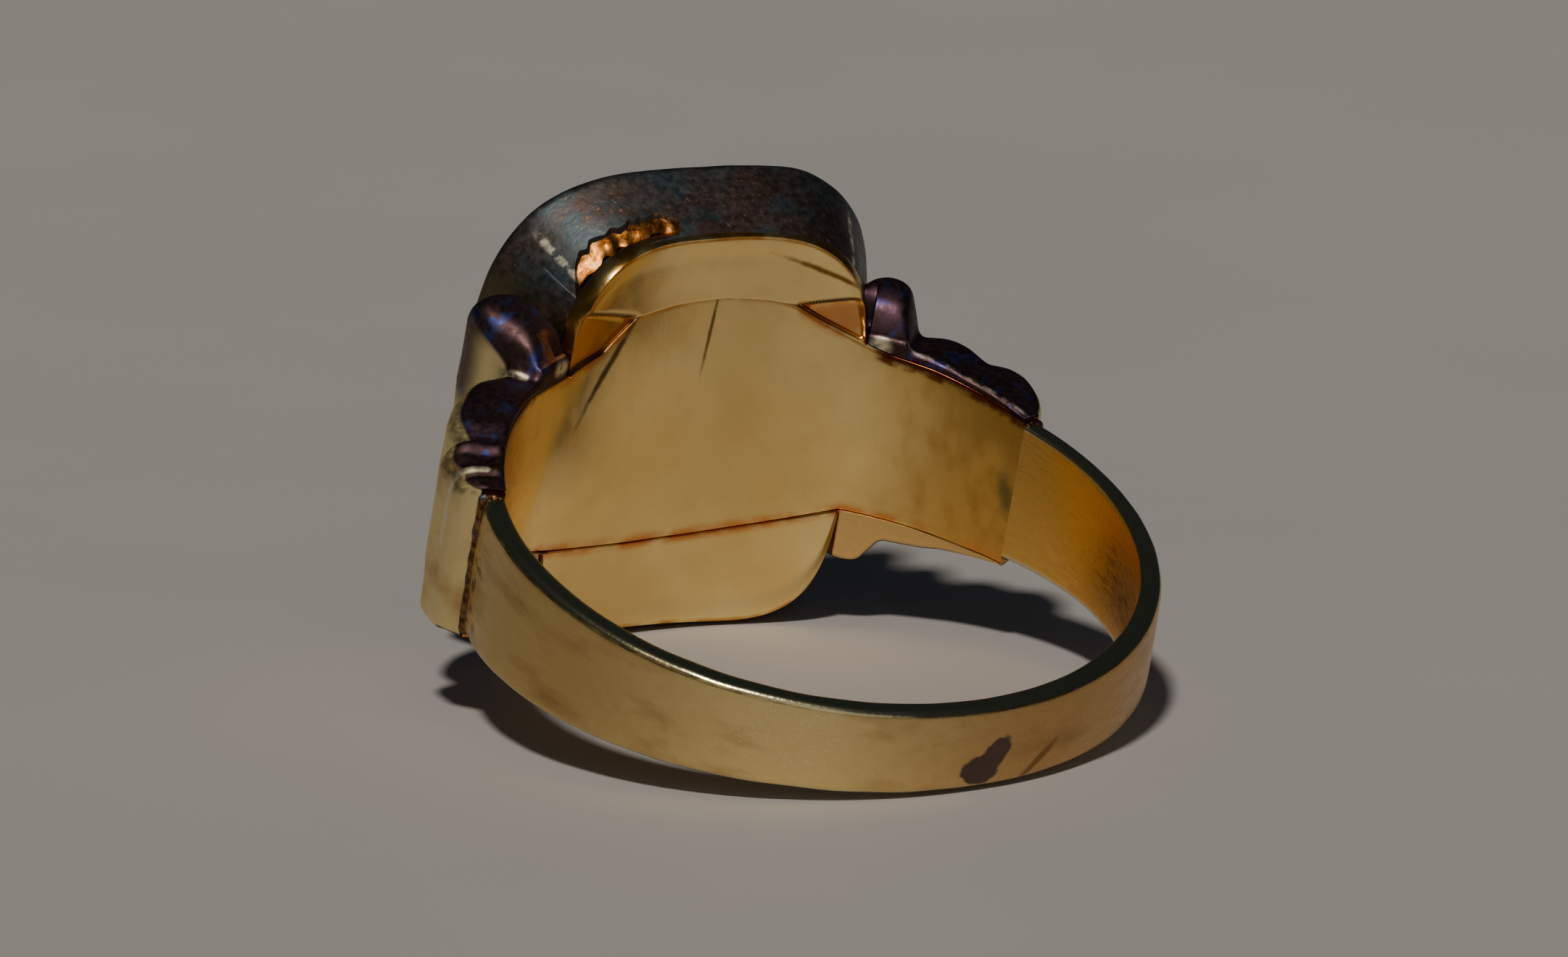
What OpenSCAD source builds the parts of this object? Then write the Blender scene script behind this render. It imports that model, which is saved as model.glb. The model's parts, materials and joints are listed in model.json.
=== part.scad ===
// Signet ring lying on its side, resting on the rim of its face and on the back of its band.
// Every piece is drawn about the centre of the finger hole with +Z along the finger and +Y
// towards the face; lay_down() then tips the ring onto the surface. The origin is the centre
// of the finger hole.

/* [Finger hole] */
// Diameter of the finger hole
finger_d = 20; // [17:0.5:22]
// Thickness of the sheet that lies against the finger
band_t = 0.7; // [0.5:0.05:0.9]

/* [Shank] */
// Width of the shank at the back of the finger
back_w = 2.8; // [2:0.1:4]
// Width of the shank where it meets the shoulders
joint_w = 4.7; // [4.2:0.1:5.2]
// Angle from the middle of the face to each soldered joint
joint_angle = 69.5; // [68:0.5:72]
// Thickness of the solder in each joint
solder_t = 0.12; // [0.08:0.02:0.2]
// How far the solder stands proud of the shank
solder_fillet = 0.12; // [0.05:0.01:0.2]

/* [Finger liner] */
// Width of the liner at the shoulders
liner_w = 5.2; // [5:0.1:5.6]
// Width of the liner under the middle of the face
liner_mid_w = 8; // [6.5:0.1:9]
// Length over which the liner swells
liner_swell = 12; // [10:0.5:13]

/* [Head] */
// Height of the face above the centre of the finger hole
face_height = 12.65; // [12.4:0.05:13.4]
// Size of the face across the finger
face_w = 14; // [13:0.5:15]
// Size of the face along the finger
face_l = 16; // [15:0.5:17]
// Size of the head's foot across the finger
foot_w = 9.8; // [9.4:0.1:10.2]
// Size of the head's foot along the finger
foot_l = 12.6; // [12:0.1:13]
// Thickness of the face plate
face_t = 0.8; // [0.6:0.05:1]
// Thickness of the side wall
wall_t = 0.6; // [0.5:0.05:0.8]
// How squarely cushioned the face is: 2 is an oval, higher is squarer
face_squareness = 3.2; // [2.6:0.1:4]
// The same for the foot
foot_squareness = 4.2; // [3.4:0.1:5]
// Angle by which the head sits round from the middle of the shank
head_turn = 6; // [0:1:7]

/* [Back plates] */
// Size across the finger of the opening that the back plates close
plate_w = 10.3; // [9.8:0.1:10.6]
// The same along the finger
plate_l = 14.1; // [13.6:0.1:14.4]

/* [Shoulders] */
// Radius from the finger's centre to the top of the long moulding
moulding_r = 12.1; // [11.9:0.05:12.3]
// Radius to the saddles between the mouldings
saddle_r = 11.3; // [11.1:0.05:11.5]
// Width of the long moulding along the finger
moulding_w = 6.4; // [6.2:0.1:6.8]
// Radius of the rounded beads that run along the finger
bead_r = 1.2; // [1.1:0.05:1.3]
// Width of the collar bead along the finger
collar_w = 9; // [8:0.2:10]
// Radius on the mouldings' edges
edge_r = 0.5; // [0.3:0.05:0.6]

/* [Hidden] */
$fn = 96;
eps = 0.01;
gold = "#b3924a";
toned_gold = "#5d5546";
purple_gold = "#4a3440";
solder_colour = "#3b2a24";
finger_r = finger_d / 2;
band_r = finger_r + band_t;
solder_angle = 2 * asin(solder_t / 2 / finger_r);
reach = 2 * face_height;
foot_y = 8;
// Tilt at which the shank's back edge and the face's edge both touch the surface
tilt = atan((face_l - back_w) / 2 / (face_height + band_r));
// Points on each outline of the head
outline_steps = 48;
// The liner's swelling is the overlap of two discs
swell_rise = (liner_mid_w - liner_w) / 2;
swell_r = (pow(liner_swell / 2, 2) + pow(swell_rise, 2)) / (2 * swell_rise);
// Angles of the mouldings: the collar goes by the head, the others by the joint
collar_angle = 33;
seat_start = 25;
long_start = 40;
long_end = joint_angle - 14;
end_bead_angle = joint_angle - 7;
// How far cutters and blanks run past the faces that trim them
overrun = 0.5;

// Tips the upright ring onto the surface
module lay_down() {
    rotate([tilt, 0, 0]) children();
}

// Turns a piece of the head to where the head sits on the ring
module on_head() {
    rotate([0, 0, -head_turn]) children();
}

module bore_cylinder(r) {
    cylinder(r = r, h = 2 * reach, center = true);
}

// Slice of the ring between two angles from the face, positive towards +X
module slice_between(from, to) {
    steps = 6;
    linear_extrude(height = 2 * reach, center = true)
        polygon([
            [0, 0],
            for (i = [0 : steps])
                let (a = from + (to - from) * i / steps)
                    [2 * reach * sin(a), 2 * reach * cos(a)]
        ]);
}

// Everything on one side of the ring beyond the joint there
module past_joint(side) {
    far = joint_angle + 90;
    slice_between(side > 0 ? joint_angle : -far, side > 0 ? far : -joint_angle);
}

module finger_tube(outer_r) {
    difference() {
        bore_cylinder(outer_r);
        bore_cylinder(finger_r);
    }
}

// Block whose width along the finger tapers from the joints to the back
module shank_taper(grow) {
    joint_y = finger_r * cos(joint_angle);
    slope = (joint_w - back_w) / 2 / (joint_y + band_r);
    half_back = back_w / 2 + grow;
    half_front = back_w / 2 + slope * (face_height + band_r) + grow;
    rotate([90, 0, 90])
        linear_extrude(height = 2 * reach, center = true)
            polygon([
                [-band_r - 1, half_back - slope], [face_height, half_front],
                [face_height, -half_front], [-band_r - 1, slope - half_back]
            ]);
}

// Cushion outline of a given size, flat in the XY plane
module cushion(w, l, squareness) {
    power = 2 / squareness;
    polygon([
        for (i = [0 : outline_steps - 1])
            let (a = 360 * (i + 0.5) / outline_steps)
                [
                    w / 2 * sign(cos(a)) * pow(abs(cos(a)), power),
                    l / 2 * sign(sin(a)) * pow(abs(sin(a)), power)
                ]
    ]);
}

// Solid flared block of the head, taken in all round by inset
module head_block(inset) {
    on_head()
        rotate([-90, 0, 0])
            hull() {
                translate([0, 0, foot_y])
                    linear_extrude(height = eps)
                        cushion(foot_w - 2 * inset, foot_l - 2 * inset, foot_squareness);
                translate([0, 0, face_height - eps])
                    linear_extrude(height = eps)
                        cushion(face_w - 2 * inset, face_l - 2 * inset, face_squareness);
            }
}

// Upright prism with the outline of the back plates
module plate_prism() {
    on_head()
        rotate([-90, 0, 0])
            linear_extrude(height = reach)
                cushion(plate_w, plate_l, foot_squareness);
}

// Everything on the finger's side of the face plate's underside
module below_face_plate() {
    on_head()
        translate([0, face_height - face_t - reach, 0])
            cube([4 * reach, 2 * reach, 2 * reach], center = true);
}

// Pierced window in the upper side wall, left of the middle
module window_cutter() {
    on_head()
        linear_extrude(height = reach)
            polygon([[-5.2, 8.2], [-4.5, 10.3], [-1.8, 10.7], [-1.2, 10.3], [-1.8, 9.2]]);
}

// Half of a bead's or moulding's cross-section, with its two outer corners rounded
module rounded_section(depth, w) {
    translate([0, -w / 2 + edge_r])
        square([depth, w - 2 * edge_r]);
    translate([0, -w / 2])
        square([depth - edge_r, w]);
    for (s = [-1, 1])
        translate([depth - edge_r, s * (w / 2 - edge_r)])
            circle(r = edge_r, $fn = 32);
}

// Moulding that runs round the ring between two angles, with rounded edges
module moulding(from, to, top_r, w) {
    rotate([0, 0, 90 - to])
        rotate_extrude(angle = to - from)
            translate([finger_r - overrun, 0])
                rounded_section(top_r - finger_r + overrun, w);
}

// Round bead that runs along the finger at one angle of the ring
module bead(angle, top_r, w) {
    rotate([0, 0, -angle])
        translate([0, top_r - bead_r, 0])
            rotate_extrude()
                rounded_section(bead_r, w);
}

// A cast shoulder in one metal: collar bead, long moulding and end bead on a common seat
module shoulder(side) {
    turn = side * head_turn;
    mirror([side < 0 ? 1 : 0, 0, 0])
        union() {
            moulding(turn + seat_start, joint_angle, saddle_r, moulding_w - edge_r);
            bead(turn + collar_angle, moulding_r + edge_r, collar_w);
            moulding(turn + long_start, long_end, moulding_r, moulding_w);
            bead(end_bead_angle, moulding_r, moulding_w);
        }
}

module shoulder_on_ring(side) {
    lay_down()
        difference() {
            shoulder(side);
            bore_cylinder(finger_r);
            liner_solid();
            head_block(0);
            intersection() {
                finger_tube(band_r);
                plate_prism();
            }
            past_joint(side);
        }
}

// Prism with the liner's outline: a straight strip with a leaf-shaped swelling
module liner_prism() {
    rotate([-90, 0, 0])
        linear_extrude(height = reach)
            union() {
                square([2 * reach, liner_w], center = true);
                intersection() {
                    translate([0, liner_mid_w / 2 - swell_r])
                        circle(r = swell_r);
                    translate([0, swell_r - liner_mid_w / 2])
                        circle(r = swell_r);
                }
            }
}

module liner_solid() {
    intersection() {
        finger_tube(band_r);
        slice_between(-joint_angle, joint_angle);
        liner_prism();
    }
}

module shank() {
    away = joint_angle + solder_angle;
    color(gold)
        lay_down()
            difference() {
                intersection() {
                    finger_tube(band_r);
                    shank_taper(0);
                }
                slice_between(-away, away);
            }
}

module solder_joint(side) {
    near = joint_angle;
    far = joint_angle + solder_angle;
    color(solder_colour)
        lay_down()
            intersection() {
                finger_tube(band_r + solder_fillet);
                shank_taper(solder_fillet);
                slice_between(side > 0 ? near : -far, side > 0 ? far : -near);
            }
}

module finger_liner() {
    color(gold)
        lay_down() liner_solid();
}

module left_shoulder() {
    color(purple_gold) shoulder_on_ring(-1);
}

module right_shoulder() {
    color(purple_gold) shoulder_on_ring(1);
}

module head_side_wall() {
    color(toned_gold)
        lay_down()
            difference() {
                intersection() {
                    head_block(0);
                    below_face_plate();
                }
                head_block(wall_t);
                bore_cylinder(band_r);
                window_cutter();
            }
}

// Sheet that closes the head on the finger's side, beside the liner
module back_plate(side) {
    color(gold)
        lay_down()
            difference() {
                intersection() {
                    finger_tube(band_r);
                    plate_prism();
                    translate([0, 0, side * reach])
                        cube(2 * reach, center = true);
                }
                liner_prism();
            }
}

module face_plate() {
    color(toned_gold)
        lay_down()
            difference() {
                head_block(0);
                below_face_plate();
            }
}

shank();
solder_joint(-1);  // left_solder_joint
solder_joint(1);  // right_solder_joint
finger_liner();
left_shoulder();
right_shoulder();
head_side_wall();
back_plate(1);  // upper_back_plate
back_plate(-1);  // lower_back_plate
face_plate();
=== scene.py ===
import json
import bpy
import math
import numpy as np
from mathutils import Matrix, Vector, noise


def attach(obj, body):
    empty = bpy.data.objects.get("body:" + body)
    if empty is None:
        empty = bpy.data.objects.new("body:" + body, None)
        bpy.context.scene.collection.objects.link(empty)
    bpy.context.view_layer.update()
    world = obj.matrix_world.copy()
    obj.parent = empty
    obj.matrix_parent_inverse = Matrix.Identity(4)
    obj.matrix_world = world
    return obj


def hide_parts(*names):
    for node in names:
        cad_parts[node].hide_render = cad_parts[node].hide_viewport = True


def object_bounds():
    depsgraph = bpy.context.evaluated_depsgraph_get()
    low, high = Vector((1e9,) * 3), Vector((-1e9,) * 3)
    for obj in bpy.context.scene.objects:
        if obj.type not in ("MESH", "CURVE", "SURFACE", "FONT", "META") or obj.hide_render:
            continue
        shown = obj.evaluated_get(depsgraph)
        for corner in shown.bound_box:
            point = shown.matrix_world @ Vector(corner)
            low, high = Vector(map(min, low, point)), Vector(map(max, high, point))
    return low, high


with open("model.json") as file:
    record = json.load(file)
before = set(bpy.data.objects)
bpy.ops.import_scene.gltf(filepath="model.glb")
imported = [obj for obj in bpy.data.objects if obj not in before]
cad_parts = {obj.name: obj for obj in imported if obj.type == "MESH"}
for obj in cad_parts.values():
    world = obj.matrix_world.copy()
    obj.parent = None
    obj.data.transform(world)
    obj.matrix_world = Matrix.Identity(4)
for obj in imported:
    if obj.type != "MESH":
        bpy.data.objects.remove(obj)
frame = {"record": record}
cad_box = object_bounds()

# ---------------------------------------------------------------------------------------------
# SHANK. The plain band of the ring, rolled from 0.7 mm gold sheet and bent round the finger,
# narrowest at the back. It is satin from years of wear, its cut edges are rubbed smooth, and it
# is soldered to the shoulders at both ends.
MM = 0.001
mounts = {m["name"]: m for m in frame["record"]["mounts"]}
finger_lean = Vector(mounts["finger_bore"]["axis"])
face_middle = Vector(mounts["signet_face"]["pos_m"]) / MM
FINGER_R = mounts["finger_bore"]["dims"]["r_mm"]
FACE_HEIGHT = face_middle.length
HEAD_TURN = math.degrees(math.asin(face_middle.x / FACE_HEIGHT))
LAY_DOWN = Matrix.Rotation(math.atan2(-finger_lean.y, finger_lean.z), 3, "X")
SHEET_T = 0.7
BAND_R = FINGER_R + SHEET_T
JOINT_ANGLE = 69.5
JOINT_GAP = 0.1  # degrees from the joint to the end of the sheet
BACK_HALF_W = 1.4
JOINT_HALF_W = 2.35
OUTER_ROUND = 0.28
INNER_ROUND = 0.09
CROWN = 0.03


def on_ring(angle, radius, along):
    """The upright point at an angle from the middle of the face, a radius and a height."""
    a = math.radians(angle)
    return Vector((radius * math.sin(a), radius * math.cos(a), along))


def worn(point, size, depth, seed=0.0):
    """How far wear has moved a surface at a point, as smooth noise of a size in mm."""
    return depth * noise.noise(Vector(point) / size + Vector((seed, 2.7 * seed, -seed)))


def ease(t):
    """Goes smoothly from 0 to 1 as t does."""
    t = min(max(t, 0.0), 1.0)
    return t * t * (3 - 2 * t)


def arc(middle_r, middle_z, radius, start, end, steps):
    """Points of a rounded corner in a section, as (radius, height)."""
    turns = [math.radians(start + (end - start) * i / steps) for i in range(steps + 1)]
    return [(middle_r + radius * math.cos(t), middle_z + radius * math.sin(t)) for t in turns]


def skin(rows, closed=False):
    """Faces over equal closed rows of points: capped at both ends, or closed into a loop."""
    size = len(rows[0])
    faces = []
    for i in range(len(rows) if closed else len(rows) - 1):
        a, b = i * size, (i + 1) % len(rows) * size
        faces += [(a + j, a + (j + 1) % size, b + (j + 1) % size, b + j) for j in range(size)]
    if not closed:
        faces.append(tuple(reversed(range(size))))
        faces.append(tuple(range((len(rows) - 1) * size, len(rows) * size)))
    return faces


def add_piece(name, points, faces, places, marks, finish, sharp=40):
    """Adds a piece from upright points in mm, laid down, in place of the CAD node of its name."""
    mesh = bpy.data.meshes.new(name)
    mesh.from_pydata([LAY_DOWN @ Vector(p) * MM for p in points], [], faces)
    place = mesh.attributes.new("place", "FLOAT_VECTOR", "POINT")
    place.data.foreach_set("vector", np.array(places, dtype=np.float32).ravel())
    for mark, values in marks.items():
        layer = mesh.attributes.new(mark, "FLOAT", "POINT")
        layer.data.foreach_set("value", np.array(values, dtype=np.float32))
    mesh.validate()
    mesh.shade_smooth()
    mesh.set_sharp_from_angle(angle=math.radians(sharp))
    mesh.materials.append(finish)
    piece = bpy.data.objects.new("ring-" + name.replace("_", "-"), mesh)
    bpy.context.scene.collection.objects.link(piece)
    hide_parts(name)
    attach(piece, "root")


def linear(colour):
    """An sRGB hex colour as linear RGBA."""
    parts = [int(colour[i : i + 2], 16) / 255 for i in (1, 3, 5)]
    return [c / 12.92 if c <= 0.04045 else ((c + 0.055) / 1.055) ** 2.4 for c in parts] + [1.0]


def add(tree, kind, settings, inputs):
    """Adds a shader node with its settings, and gives its inputs their values or links."""
    made = tree.nodes.new(kind)
    for key, value in settings.items():
        setattr(made, key, value)
    for key, value in inputs.items():
        if isinstance(value, bpy.types.NodeSocket):
            tree.links.new(value, made.inputs[key])
        else:
            made.inputs[key].default_value = value
    return made


def new_finish(name):
    """An empty material: the finish, its node tree and the piece's places in mm."""
    finish = bpy.data.materials.new(name)
    finish.use_nodes = True
    tree = finish.node_tree
    tree.nodes.clear()
    place = add(tree, "ShaderNodeAttribute", {"attribute_name": "place"}, {}).outputs["Vector"]
    return finish, tree, place


def blotches(tree, place, per_mm, low, high, stretch=(1, 1, 1), detail=3.0):
    """Mask of soft patches with so many features a millimetre: 0 at low noise, 1 at high."""
    spread = add(tree, "ShaderNodeMapping", {}, {"Vector": place, "Scale": stretch})
    cloud = add(tree, "ShaderNodeTexNoise", {},
                {"Vector": spread.outputs[0], "Scale": per_mm, "Detail": detail})
    return add(tree, "ShaderNodeMapRange", {},
               {"Value": cloud.outputs[0], "From Min": low, "From Max": high}).outputs[0]


def patch(tree, place, middle, half_size, turn, ragged, soft=0.35):
    """Mask of one mark at a place in mm: its middle, its half sizes, its turn and its ragged edge."""
    moved = add(tree, "ShaderNodeMapping", {"vector_type": "TEXTURE"}, {
        "Vector": place, "Location": (*middle, 0), "Rotation": (0, 0, math.radians(turn)),
        "Scale": (*half_size, 1000)})
    away = add(tree, "ShaderNodeVectorMath", {"operation": "LENGTH"}, {0: moved.outputs[0]})
    cloud = add(tree, "ShaderNodeTexNoise", {}, {"Vector": place, "Scale": 2.5, "Detail": 4.0})
    edge = add(tree, "ShaderNodeMath", {"operation": "MULTIPLY_ADD"},
               {0: cloud.outputs[0], 1: 2 * ragged, 2: away.outputs["Value"]})
    return add(tree, "ShaderNodeMapRange", {"interpolation_type": "SMOOTHSTEP"},
               {"Value": edge.outputs[0], "From Min": 1 + ragged - soft / 2,
                "From Max": 1 + ragged + soft / 2, "To Min": 1, "To Max": 0}).outputs[0]


def mark_mask(tree, mark, low, high):
    """Mask that goes from 0 to 1 as a piece's own mark goes from low to high."""
    value = add(tree, "ShaderNodeAttribute", {"attribute_name": mark}, {}).outputs["Fac"]
    return add(tree, "ShaderNodeMapRange", {"interpolation_type": "SMOOTHSTEP"},
               {"Value": value, "From Min": low, "From Max": high}).outputs[0]


def paint(tree, ground, layers):
    """Lays colours over the ground colour, one after another, each where all its masks are 1."""
    below = linear(ground)
    for colour, where, *limits in layers:
        for limit in limits:
            where = add(tree, "ShaderNodeMath", {"operation": "MULTIPLY"},
                        {0: where, 1: limit}).outputs[0]
        below = add(tree, "ShaderNodeMix", {"data_type": "RGBA"},
                    {0: where, 6: below, 7: linear(colour)}).outputs[2]
    return below


def metal(tree, colour, rough, scratches, depth):
    """Ends a finish as bare metal with a colour, a roughness mask and scratches of a depth in mm."""
    low, high, mask = rough
    roughness = add(tree, "ShaderNodeMapRange", {}, {"Value": mask, "To Min": low, "To Max": high})
    bump = add(tree, "ShaderNodeBump", {}, {"Height": scratches, "Distance": depth * MM,
                                            "Strength": 1.0})
    shader = add(tree, "ShaderNodeBsdfPrincipled", {}, {
        "Base Color": colour, "Metallic": 1.0, "Roughness": roughness.outputs[0],
        "Normal": bump.outputs[0]})
    add(tree, "ShaderNodeOutputMaterial", {}, {"Surface": shader.outputs[0]})


# Satin gold, worn: thousands of fine scratches spread the reflections, with brown patches where
# grime stays, one dark stain at the back, and smoother edges toned to a greyish olive. Painted
# shade darkens two broad patches of the band, and painted sparkles stand for glints where the
# light catches the outer face. The real scratches are about 0.02 mm wide; they are drawn 0.1 mm
# wide so that they show.
satin_gold, tree, place = new_finish("worn satin gold")
fine = blotches(tree, place, 9.0, 0.3, 0.7, (0.16, 1, 1), 5.0)
crossed = blotches(tree, place, 7.0, 0.35, 0.7, (1, 0.35, 1), 4.0)
grime = blotches(tree, place, 0.7, 0.5, 0.85, (0.5, 1.3, 1), 6.0)
olive = blotches(tree, place, 0.3, 0.42, 0.62, (0.5, 1, 1))
inside = mark_mask(tree, "inside", 0.3, 0.8)
grains = blotches(tree, place, 11.0, 0.6, 0.68, detail=2.0)
edge = mark_mask(tree, "edge", 0.25, 0.8)
# Painted sparkles: light specks on the outer face where the key light's glint runs along the band.
painted_sparkles = patch(tree, place, (6.2, 0.3), (1.7, 1.4), 0, 0.3, 0.8)
stain = patch(tree, place, (0.12, -0.72), (0.66, 0.5), 0, 0.3, 0.2)
tail = patch(tree, place, (-0.28, -0.28), (0.82, 0.42), -48, 0.3, 0.25)
smear = patch(tree, place, (-2.1, -0.75), (0.95, 0.13), -40, 0.5, 0.9)
# Painted shade: two broad patches of the band darkened where less light falls on it.
left_painted_shade = patch(tree, place, (16.0, 0), (5.5, 4.0), 0, 0.2, 1.2)
right_painted_shade = patch(tree, place, (-4.5, 0), (6.5, 4.0), 0, 0.2, 1.2)
near_left = mark_mask(tree, "left_joint", 0.35, 1.0)
near_joint = mark_mask(tree, "joint", 0.0, 1.0)
pits = blotches(tree, place, 1.5, 0.52, 0.62)
colour = paint(tree, "#f0d694", [
    ("#cfb272", left_painted_shade), ("#cda468", right_painted_shade), ("#d9c07e", olive, grains),
    ("#a8814a", grime), ("#ffe2c8", grains, painted_sparkles),
    ("#5f4430", near_left, pits), ("#94713d", smear), ("#6b564e", tail), ("#66534d", stain),
    ("#e8a646", inside), ("#e2b562", inside, near_joint), ("#cdc8a0", edge)])
smooth_edge = add(tree, "ShaderNodeMath", {"operation": "SUBTRACT", "use_clamp": True},
                  {0: fine, 1: edge}).outputs[0]
metal(tree, colour, (0.2, 0.42, smooth_edge), crossed, 0.0025)


def shank_half_width(angle):
    """Half the band's width along the finger, which tapers evenly from the joints to the back."""
    joint_y = FINGER_R * math.cos(math.radians(JOINT_ANGLE))
    rise = (BAND_R * math.cos(math.radians(angle)) + BAND_R) / (joint_y + BAND_R)
    return BACK_HALF_W + (JOINT_HALF_W - BACK_HALF_W) * rise


def band_section(half_w, inner_r, outer_r, outer_round, inner_round, crown):
    """Half of a band's section for heights above 0: outer face, rounded corners, inner face."""
    flat = half_w - outer_round
    face = [(outer_r + crown * (1 - (z / half_w) ** 2), z)
            for z in [flat * (i + 0.5) / 7 for i in range(7)]]
    corner = arc(outer_r - outer_round, half_w - outer_round, outer_round, 8, 90, 6)
    edge_w = outer_r - outer_round - inner_r - inner_round
    top = [(outer_r - outer_round - edge_w * i / 4, half_w + 0.012 * math.sin(math.pi * i / 4))
           for i in range(1, 4)]
    inner = arc(inner_r + inner_round, half_w - inner_round, inner_round, 90, 180, 4)
    back = [(inner_r, (half_w - inner_round) * (1 - (i + 0.5) / 6)) for i in range(6)]
    return face + corner + top + inner + back


def mirrored(half):
    """A whole closed section from its half above 0."""
    return half + [(r, -z) for r, z in reversed(half)]


SHANK_STEPS = 300
shank_start = JOINT_ANGLE + JOINT_GAP
rows, points, places, edge_marks, inside_marks = [], [], [], [], []
for i in range(SHANK_STEPS + 1):
    angle = shank_start + (360 - 2 * shank_start) * i / SHANK_STEPS
    half_w = shank_half_width(angle)
    section = mirrored(band_section(half_w, FINGER_R, BAND_R, OUTER_ROUND, INNER_ROUND, CROWN))
    row = []
    for r, z in section:
        p = on_ring(angle, r, z)
        outer = ease((r - FINGER_R) / SHEET_T)
        r += outer * (worn(p, 2.2, 0.035) + worn(p, 0.7, 0.007, 3))
        z += worn(p, 1.6, 0.03, 5) * abs(z) / half_w
        row.append(on_ring(angle, r, z))
        places.append((math.radians(180 - angle) * -BAND_R, z, r))
        edge_marks.append(ease((abs(z) - half_w + 0.22) / 0.2) * ease((r - FINGER_R + 0.1) / 0.1))
        inside_marks.append(ease((FINGER_R + 0.12 - r) / 0.1))
    rows.append(row)
    points += row
left_joint_marks = [ease((a - 17.4) / 3.0) for a, _, _ in places]
joint_marks = [ease((abs(a) - 12.5) / 8.0) for a, _, _ in places]
add_piece("shank", points, skin(rows), places,
          {"edge": edge_marks, "inside": inside_marks, "left_joint": left_joint_marks,
           "joint": joint_marks}, satin_gold)

# ---------------------------------------------------------------------------------------------
# SOLDER JOINTS. Where the shank was cut and let into the shoulders, a lumpy skin of hard solder
# stands a little proud. It was never cleaned up, so it is dark, pitted and fire-stained.
JOINT_T = 0.34
JOINT_TURN = 0.15  # degrees from the end of the liner to the middle of the joint
SOLDER_PROUD = 0.12
SOLDER_STEPS = 8

# Hard solder, melted and left: brown and dull, pitted near-black and blue here and there by fire,
# and rubbed to gold inside the band.
burnt_solder, tree, place = new_finish("fire-stained hard solder")
pitted = blotches(tree, place, 4.0, 0.4, 0.6, detail=6.0)
blue = blotches(tree, place, 1.6, 0.5, 0.62)
inside = mark_mask(tree, "inside", 0.3, 0.8)
colour = paint(tree, "#8a6a42", [
    ("#553626", pitted), ("#6a7a90", blue, pitted), ("#e2b562", inside)])
metal(tree, colour, (0.24, 0.46, pitted), pitted, 0.03)

for side, name in ((-1, "left_solder_joint"), (1, "right_solder_joint")):
    rows, points, places, inside_marks = [], [], [], []
    for i in range(SOLDER_STEPS + 1):
        across = i / SOLDER_STEPS * 2 - 1
        angle = side * (JOINT_ANGLE + JOINT_TURN) + math.degrees(across * JOINT_T / 2 / BAND_R)
        bulge = 1 - across ** 4
        outer_r = BAND_R + 0.02 + SOLDER_PROUD * bulge
        half_w = JOINT_HALF_W + 0.1 * bulge
        row = []
        for r, z in mirrored(band_section(half_w, FINGER_R + 0.06, outer_r, 0.22, 0.07, 0.0)):
            p = on_ring(angle, r, z)
            out = ease((r - FINGER_R) / SHEET_T)
            turn = worn(p, 0.9, 0.3, 7 + side) * out
            r += out * worn(p, 0.35, 0.06, 9 + side)
            z += worn(p, 0.4, 0.05, 11 + side) * out
            row.append(on_ring(angle + turn, r, z))
            places.append((math.radians(angle) * BAND_R, z, r))
            inside_marks.append(ease((FINGER_R + 0.1 - r) / 0.08))
        rows.append(row)
        points += row
    add_piece(name, points, skin(rows), places, {"inside": inside_marks}, burnt_solder)

# ---------------------------------------------------------------------------------------------
# FINGER LINER. A strip of gold sheet that lines the ring behind the head from joint to joint,
# with a leaf-shaped swelling in its middle. It is let in between the back plates and soldered
# all round, and the finger has kept it polished.
LINER_HALF_W = 2.6
LINER_MID_HALF_W = 4.0
SWELL_HALF_L = 6.0
SWELL_RISE = LINER_MID_HALF_W - LINER_HALF_W
SWELL_R = (SWELL_HALF_L ** 2 + SWELL_RISE ** 2) / 2 / SWELL_RISE
LINER_UPPER = [  # (angle from the middle of the face, height of the liner's upper edge)
    (-70, 2.55), (-63, 2.72), (-57, 2.88), (-50, 3.02), (-40, 3.08), (-33, 2.95), (-24, 2.95),
    (-15.4, 3.3), (-8.5, 4.28), (0, 4.5), (10, 4.6), (18, 4.55), (23.3, 4.42), (28, 4.0),
    (32.2, 3.7), (37.8, 3.34), (41.7, 3.18), (50, 3.06), (57, 2.88), (63, 2.72), (70, 2.55),
]
SEAM_ROUND = 0.07
LINER_STEPS = 280


def liner_reach(angle, side):
    """How far the liner reaches from the middle: the lower edge swells evenly, the upper not."""
    if side > 0:
        return float(np.interp(angle, [a for a, _ in LINER_UPPER], [z for _, z in LINER_UPPER]))
    x = FINGER_R * math.sin(math.radians(angle))
    if abs(x) >= SWELL_HALF_L:
        return LINER_HALF_W
    return math.sqrt(SWELL_R ** 2 - x * x) - SWELL_R + LINER_MID_HALF_W


def flush(angle):
    """1 where the upper plate was rubbed level with the liner, and their seam doesn't show."""
    return ease((angle + 9.5) / 3) * ease((24 - angle) / 3)


def flow(p):
    """The soft waves that rolling and rubbing left in the sheet that lines the ring."""
    calm = 1 - ease((abs(math.degrees(math.atan2(p[0], p[1]))) - 60) / 8)
    return calm * (worn(p, 3.4, 0.1, 21) + worn(p, 1.5, 0.02, 23))


# Polished gold: soft bright reflections, clouded by fine rubbing marks along the finger, darker
# towards the ends, with painted shade over the left end and two dark streaks of painted
# reflection, brown drips from the upper rim and orange fire-stain with a painted highlight along
# the soldered seam. The real rubbing marks are about 0.03 mm wide and are drawn 0.1 mm wide.
liner_gold, tree, place = new_finish("polished liner gold")
cloudy = blotches(tree, place, 0.22, 0.4, 0.62)
rubbed = blotches(tree, place, 10.0, 0.1, 0.9, (1, 0.1, 1), 4.0)
hazy = blotches(tree, place, 1.3, 0.45, 0.75, (1, 0.6, 1), 5.0)
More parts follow.
